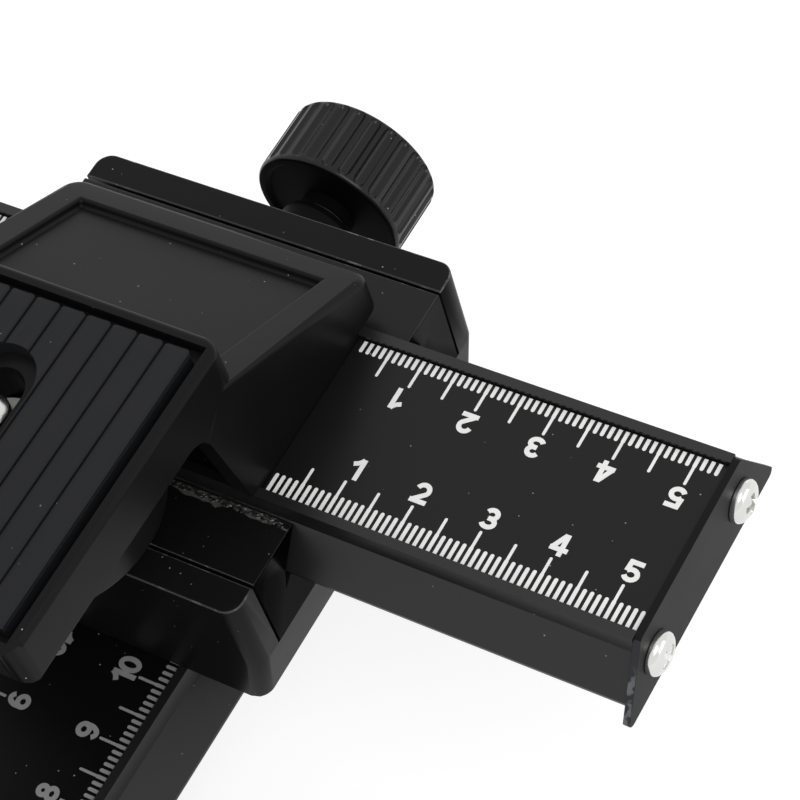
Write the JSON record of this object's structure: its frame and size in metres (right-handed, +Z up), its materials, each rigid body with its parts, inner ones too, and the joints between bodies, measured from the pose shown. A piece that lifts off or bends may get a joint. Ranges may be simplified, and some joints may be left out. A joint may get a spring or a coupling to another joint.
{
  "type": "macro focusing rail",
  "caption": "Four-way macro focusing rail: crossed dovetail slides with scales, rack-and-pinion knobs, lock knobs and a raised camera platform on a tripod base.",
  "frame": {"origin": "centre of the tripod thread at the base's underside", "axes": "+Z up, +Y along the lower rail towards its cross carriage, +X along the upper rail"},
  "size_m": [0.1644, 0.1898, 0.0819],
  "materials": {
    "body_black": "satin black powder coat",
    "guide_black": "satin black anodised",
    "plate_black": "satin black, worn edge",
    "knob_black": "moulded black",
    "steel": "turned steel",
    "chrome": "bright plated",
    "brass": "turned brass",
    "dark_steel": "blackened steel",
    "scale_black": "satin black anodised with pale marks",
    "rubber": "ribbed rubber",
    "nylon": "natural nylon"
  },
  "bodies": {
    "base": {"base_shell": "body_black", "base_guide": "guide_black", "base_guide_screws": "dark_steel", "tripod_bush": "brass", "lower_bush": "brass", "lower_end_bush": "brass"},
    "lower_drive": {"lower_pinion": "steel", "lower_shaft_ring": "dark_steel", "lower_knob": "knob_black", "lower_knob_screw": "dark_steel"},
    "lower_lock": {"lower_lock_knob": "knob_black"},
    "lower_lock_shoe": {"lower_lock_pad": "brass"},
    "lower_slide": {"lower_rail": "body_black", "lower_rack": "steel", "lower_rack_screws": "dark_steel", "lower_scale_plate": "scale_black", "lower_front_plate": "plate_black", "lower_rear_plate": "plate_black", "lower_plate_screws": "chrome", "cross_shell": "body_black", "cross_guide": "guide_black", "cross_guide_screws": "dark_steel", "cross_mount_screws": "dark_steel", "upper_bush": "brass", "upper_end_bush": "brass"},
    "upper_drive": {"upper_pinion": "steel", "upper_shaft_ring": "dark_steel", "upper_knob": "knob_black", "upper_knob_screw": "dark_steel"},
    "upper_lock": {"upper_lock_knob": "knob_black"},
    "upper_lock_shoe": {"upper_lock_pad": "brass"},
    "upper_slide": {"upper_rail": "body_black", "upper_rack": "steel", "upper_rack_screws": "dark_steel", "upper_scale_plates": "scale_black", "upper_left_plate": "plate_black", "upper_right_plate": "plate_black", "upper_plate_screws": "chrome", "camera_platform": "body_black", "platform_screws": "dark_steel", "rubber_pad": "rubber"},
    "screw_carrier": {"screw_washer": "nylon"},
    "screw_lift": {"thrust_washer": "dark_steel"},
    "camera_fixing": {"camera_screw": "chrome", "camera_knob": "knob_black"}
  },
  "joints": [
    {"name": "lower_rail_slide", "type": "slide", "parent": "base", "child": "lower_slide", "axis": [0, 1, 0], "range_m": [-0.074, 0.024]},
    {"name": "lower_knob_turn", "type": "hinge", "parent": "base", "child": "lower_drive", "pos_m": [0, 0, 0.0123], "axis": [1, 0, 0], "range_deg": [-290, 886]},
    {"name": "lower_lock_turn", "type": "hinge", "parent": "base", "child": "lower_lock", "pos_m": [-0.0294, 0.017, 0.02075], "axis": [1, 0, 0], "range_deg": [0, 272]},
    {"name": "lower_shoe_slide", "type": "slide", "parent": "base", "child": "lower_lock_shoe", "axis": [1, 0, 0], "range_m": [0, 0.0004]},
    {"name": "upper_rail_slide", "type": "slide", "parent": "lower_slide", "child": "upper_slide", "axis": [1, 0, 0], "range_m": [-0.049, 0.049]},
    {"name": "upper_knob_turn", "type": "hinge", "parent": "lower_slide", "child": "upper_drive", "pos_m": [0, 0.08303, 0.0402], "axis": [0, 1, 0], "range_deg": [-590, 590]},
    {"name": "upper_lock_turn", "type": "hinge", "parent": "lower_slide", "child": "upper_lock", "pos_m": [-0.017, 0.05363, 0.04865], "axis": [0, 1, 0], "range_deg": [0, 272]},
    {"name": "upper_shoe_slide", "type": "slide", "parent": "lower_slide", "child": "upper_lock_shoe", "axis": [0, 1, 0], "range_m": [0, 0.0004]},
    {"name": "camera_screw_slide", "type": "slide", "parent": "upper_slide", "child": "screw_carrier", "axis": [0, 1, 0], "range_m": [-0.0148, 0.0028]},
    {"name": "camera_screw_lift", "type": "slide", "parent": "screw_carrier", "child": "screw_lift", "axis": [0, 0, 1], "range_m": [0, 0.00493]},
    {"name": "camera_screw_turn", "type": "hinge", "parent": "screw_lift", "child": "camera_fixing", "pos_m": [0, 0.05603, 0.0664], "axis": [0, 0, 1], "range_deg": [0, 1400]}
  ],
  "couplings": [
    {"joint": "lower_knob_turn", "follows": "lower_rail_slide", "rad_per_m": -208.33},
    {"joint": "upper_knob_turn", "follows": "upper_rail_slide", "rad_per_m": 208.33},
    {"joint": "lower_lock_turn", "follows": "lower_shoe_slide", "rad_per_m": 11781},
    {"joint": "upper_lock_turn", "follows": "upper_shoe_slide", "rad_per_m": 11781},
    {"joint": "camera_screw_turn", "follows": "camera_screw_lift", "rad_per_m": 4947.4}
  ]
}
